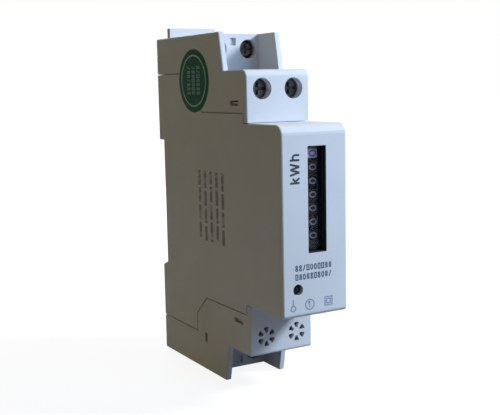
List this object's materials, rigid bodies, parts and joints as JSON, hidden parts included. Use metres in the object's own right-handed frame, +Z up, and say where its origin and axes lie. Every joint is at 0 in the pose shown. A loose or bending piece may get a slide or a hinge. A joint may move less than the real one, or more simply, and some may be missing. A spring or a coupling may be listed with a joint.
{
  "type": "single-phase energy meter",
  "caption": "Narrow rail-mounted energy meter with a drum counter behind a window, a pulse lamp, screw clamps behind recessed terminal covers and a sprung rail clip.",
  "frame": {"origin": "bottom centre of the bounding box", "axes": "+X across the module to the right seen from the front, -Y out of the front face, +Z up"},
  "size_m": [0.018, 0.0666, 0.0928],
  "materials": {
    "shell": "fine matte moulded",
    "clip": "matte moulded",
    "pane": "clear polished",
    "lamp": "dark red resin",
    "frame": "matte moulded",
    "first_drum": "satin moulded",
    "drum": "satin moulded",
    "gear": "natural acetal",
    "steel": "ground",
    "motor": "drawn can",
    "board": "solder mask",
    "film": "potted case",
    "sleeve": "shrink sleeve",
    "varistor": "dipped",
    "chip": "moulded",
    "tin": "pressed can",
    "copper": "bare stamped copper",
    "shunt_alloy": "bare resistance alloy",
    "plated": "nickel plated",
    "screw": "zinc plated",
    "contact_brass": "stamped brass"
  },
  "bodies": {
    "housing": {"main_case": "shell", "cover_top": "shell", "cover_bottom": "shell", "window_pane": "pane", "pulse_led": "lamp", "register_frame": "frame", "drum_shaft": "steel", "pinion_shaft": "steel", "stepper_motor": "motor", "main_board": "board", "film_capacitor": "film", "electrolytic_capacitor": "sleeve", "varistor": "varistor", "optocoupler": "chip", "metering_ic": "chip", "crystal": "tin", "line_bar_bottom": "copper", "line_bar_top": "copper", "neutral_link": "copper", "current_shunt": "shunt_alloy", "aux_contact_1": "contact_brass", "aux_contact_2": "contact_brass", "aux_contact_3": "contact_brass", "aux_contact_4": "contact_brass"},
    "rail_clip": {"rail_clip": "clip"},
    "digit_drum_1": {"digit_drum_1": "first_drum"},
    "digit_drum_2": {"digit_drum_2": "drum"},
    "digit_drum_3": {"digit_drum_3": "drum"},
    "digit_drum_4": {"digit_drum_4": "drum"},
    "digit_drum_5": {"digit_drum_5": "drum"},
    "digit_drum_6": {"digit_drum_6": "drum"},
    "digit_drum_7": {"digit_drum_7": "drum"},
    "drive_pinion": {"drive_pinion": "gear"},
    "motor_gear": {"motor_gear": "gear"},
    "transfer_pinion_1": {"transfer_pinion_1": "gear"},
    "transfer_pinion_2": {"transfer_pinion_2": "gear"},
    "transfer_pinion_3": {"transfer_pinion_3": "gear"},
    "transfer_pinion_4": {"transfer_pinion_4": "gear"},
    "transfer_pinion_5": {"transfer_pinion_5": "gear"},
    "transfer_pinion_6": {"transfer_pinion_6": "gear"},
    "power_clamp_1": {"power_clamp_1": "plated"},
    "power_clamp_2": {"power_clamp_2": "plated"},
    "power_clamp_3": {"power_clamp_3": "plated"},
    "power_clamp_4": {"power_clamp_4": "plated"},
    "aux_clamp_1": {"aux_clamp_1": "plated"},
    "aux_clamp_2": {"aux_clamp_2": "plated"},
    "aux_clamp_3": {"aux_clamp_3": "plated"},
    "aux_clamp_4": {"aux_clamp_4": "plated"},
    "power_screw_1": {"power_screw_1": "screw"},
    "power_screw_2": {"power_screw_2": "screw"},
    "power_screw_3": {"power_screw_3": "screw"},
    "power_screw_4": {"power_screw_4": "screw"},
    "aux_screw_1": {"aux_screw_1": "screw"},
    "aux_screw_2": {"aux_screw_2": "screw"},
    "aux_screw_3": {"aux_screw_3": "screw"},
    "aux_screw_4": {"aux_screw_4": "screw"}
  },
  "joints": [
    {"name": "rail_clip_slide", "type": "slide", "parent": "housing", "child": "rail_clip", "axis": [0, 0, -1], "range_m": [0, 0.004], "stiffness_N_per_m": 400, "springref_m": -0.001},
    {"name": "power_screw_1_turn", "type": "hinge", "parent": "housing", "child": "power_screw_1", "pos_m": [-0.00445, -0.01325, 0.0757], "axis": [0, 1, 0], "range_deg": [0, 1440]},
    {"name": "power_clamp_1_travel", "type": "slide", "parent": "housing", "child": "power_clamp_1", "axis": [0, -1, 0], "range_m": [0, 0.0024]},
    {"name": "power_screw_2_turn", "type": "hinge", "parent": "housing", "child": "power_screw_2", "pos_m": [0.00445, -0.01325, 0.0757], "axis": [0, 1, 0], "range_deg": [0, 1440]},
    {"name": "power_clamp_2_travel", "type": "slide", "parent": "housing", "child": "power_clamp_2", "axis": [0, -1, 0], "range_m": [0, 0.0024]},
    {"name": "power_screw_3_turn", "type": "hinge", "parent": "housing", "child": "power_screw_3", "pos_m": [-0.00445, -0.01325, 0.0143], "axis": [0, 1, 0], "range_deg": [0, 1440]},
    {"name": "power_clamp_3_travel", "type": "slide", "parent": "housing", "child": "power_clamp_3", "axis": [0, -1, 0], "range_m": [0, 0.0024]},
    {"name": "power_screw_4_turn", "type": "hinge", "parent": "housing", "child": "power_screw_4", "pos_m": [0.00445, -0.01325, 0.0143], "axis": [0, 1, 0], "range_deg": [0, 1440]},
    {"name": "power_clamp_4_travel", "type": "slide", "parent": "housing", "child": "power_clamp_4", "axis": [0, -1, 0], "range_m": [0, 0.0024]},
    {"name": "aux_screw_1_turn", "type": "hinge", "parent": "housing", "child": "aux_screw_1", "pos_m": [-0.00445, 0.00745, 0.0861], "axis": [0, 1, 0], "range_deg": [0, 1440]},
    {"name": "aux_clamp_1_travel", "type": "slide", "parent": "housing", "child": "aux_clamp_1", "axis": [0, -1, 0], "range_m": [0, 0.0016]},
    {"name": "aux_screw_2_turn", "type": "hinge", "parent": "housing", "child": "aux_screw_2", "pos_m": [0.00445, 0.00745, 0.0861], "axis": [0, 1, 0], "range_deg": [0, 1440]},
    {"name": "aux_clamp_2_travel", "type": "slide", "parent": "housing", "child": "aux_clamp_2", "axis": [0, -1, 0], "range_m": [0, 0.0016]},
    {"name": "aux_screw_3_turn", "type": "hinge", "parent": "housing", "child": "aux_screw_3", "pos_m": [-0.00445, 0.00745, 0.0039], "axis": [0, 1, 0], "range_deg": [0, 1440]},
    {"name": "aux_clamp_3_travel", "type": "slide", "parent": "housing", "child": "aux_clamp_3", "axis": [0, -1, 0], "range_m": [0, 0.0016]},
    {"name": "aux_screw_4_turn", "type": "hinge", "parent": "housing", "child": "aux_screw_4", "pos_m": [0.00445, 0.00745, 0.0039], "axis": [0, 1, 0], "range_deg": [0, 1440]},
    {"name": "aux_clamp_4_travel", "type": "slide", "parent": "housing", "child": "aux_clamp_4", "axis": [0, -1, 0], "range_m": [0, 0.0016]},
    {"name": "digit_drum_1_spin", "type": "hinge", "parent": "housing", "child": "digit_drum_1", "pos_m": [0.0021, -0.02405, 0.06045], "axis": [0, 0, 1], "continuous": true},
    {"name": "drive_pinion_spin", "type": "hinge", "parent": "housing", "child": "drive_pinion", "pos_m": [0.0021, -0.01812, 0.06208], "axis": [0, 0, 1], "continuous": true},
    {"name": "digit_drum_2_spin", "type": "hinge", "parent": "housing", "child": "digit_drum_2", "pos_m": [0.0021, -0.02405, 0.05719], "axis": [0, 0, 1], "continuous": true},
    {"name": "transfer_pinion_1_spin", "type": "hinge", "parent": "housing", "child": "transfer_pinion_1", "pos_m": [0.0021, -0.01812, 0.05882], "axis": [0, 0, 1], "continuous": true},
    {"name": "digit_drum_3_spin", "type": "hinge", "parent": "housing", "child": "digit_drum_3", "pos_m": [0.0021, -0.02405, 0.05393], "axis": [0, 0, 1], "continuous": true},
    {"name": "transfer_pinion_2_spin", "type": "hinge", "parent": "housing", "child": "transfer_pinion_2", "pos_m": [0.0021, -0.01812, 0.05556], "axis": [0, 0, 1], "continuous": true},
    {"name": "digit_drum_4_spin", "type": "hinge", "parent": "housing", "child": "digit_drum_4", "pos_m": [0.0021, -0.02405, 0.05067], "axis": [0, 0, 1], "continuous": true},
    {"name": "transfer_pinion_3_spin", "type": "hinge", "parent": "housing", "child": "transfer_pinion_3", "pos_m": [0.0021, -0.01812, 0.0523], "axis": [0, 0, 1], "continuous": true},
    {"name": "digit_drum_5_spin", "type": "hinge", "parent": "housing", "child": "digit_drum_5", "pos_m": [0.0021, -0.02405, 0.04741], "axis": [0, 0, 1], "continuous": true},
    {"name": "transfer_pinion_4_spin", "type": "hinge", "parent": "housing", "child": "transfer_pinion_4", "pos_m": [0.0021, -0.01812, 0.04904], "axis": [0, 0, 1], "continuous": true},
    {"name": "digit_drum_6_spin", "type": "hinge", "parent": "housing", "child": "digit_drum_6", "pos_m": [0.0021, -0.02405, 0.04415], "axis": [0, 0, 1], "continuous": true},
    {"name": "transfer_pinion_5_spin", "type": "hinge", "parent": "housing", "child": "transfer_pinion_5", "pos_m": [0.0021, -0.01812, 0.04578], "axis": [0, 0, 1], "continuous": true},
    {"name": "digit_drum_7_spin", "type": "hinge", "parent": "housing", "child": "digit_drum_7", "pos_m": [0.0021, -0.02405, 0.04089], "axis": [0, 0, 1], "continuous": true},
    {"name": "transfer_pinion_6_spin", "type": "hinge", "parent": "housing", "child": "transfer_pinion_6", "pos_m": [0.0021, -0.01812, 0.04252], "axis": [0, 0, 1], "continuous": true},
    {"name": "motor_gear_spin", "type": "hinge", "parent": "housing", "child": "motor_gear", "pos_m": [0.0021, -0.01304, 0.06208], "axis": [0, 0, 1], "continuous": true}
  ],
  "couplings": [
    {"joint": "power_screw_1_turn", "follows": "power_clamp_1_travel", "rad_per_m": 10472},
    {"joint": "power_screw_2_turn", "follows": "power_clamp_2_travel", "rad_per_m": 10472},
    {"joint": "power_screw_3_turn", "follows": "power_clamp_3_travel", "rad_per_m": 10472},
    {"joint": "power_screw_4_turn", "follows": "power_clamp_4_travel", "rad_per_m": 10472},
    {"joint": "aux_screw_1_turn", "follows": "aux_clamp_1_travel", "rad_per_m": 15708},
    {"joint": "aux_screw_2_turn", "follows": "aux_clamp_2_travel", "rad_per_m": 15708},
    {"joint": "aux_screw_3_turn", "follows": "aux_clamp_3_travel", "rad_per_m": 15708},
    {"joint": "aux_screw_4_turn", "follows": "aux_clamp_4_travel", "rad_per_m": 15708},
    {"joint": "drive_pinion_spin", "follows": "digit_drum_1_spin", "ratio": -2.5},
    {"joint": "digit_drum_2_spin", "follows": "digit_drum_1_spin", "ratio": 0.1},
    {"joint": "transfer_pinion_1_spin", "follows": "digit_drum_1_spin", "ratio": -0.25},
    {"joint": "digit_drum_3_spin", "follows": "digit_drum_1_spin", "ratio": 0.01},
    {"joint": "transfer_pinion_2_spin", "follows": "digit_drum_1_spin", "ratio": -0.025},
    {"joint": "digit_drum_4_spin", "follows": "digit_drum_1_spin", "ratio": 0.001},
    {"joint": "transfer_pinion_3_spin", "follows": "digit_drum_1_spin", "ratio": -0.0025},
    {"joint": "digit_drum_5_spin", "follows": "digit_drum_1_spin", "ratio": 0.0001},
    {"joint": "transfer_pinion_4_spin", "follows": "digit_drum_1_spin", "ratio": -0.00025},
    {"joint": "digit_drum_6_spin", "follows": "digit_drum_1_spin", "ratio": 0.00001},
    {"joint": "transfer_pinion_5_spin", "follows": "digit_drum_1_spin", "ratio": -0.000025},
    {"joint": "digit_drum_7_spin", "follows": "digit_drum_1_spin", "ratio": 0.000001},
    {"joint": "transfer_pinion_6_spin", "follows": "digit_drum_1_spin", "ratio": -0.0000025},
    {"joint": "motor_gear_spin", "follows": "digit_drum_1_spin", "ratio": 1.25}
  ]
}
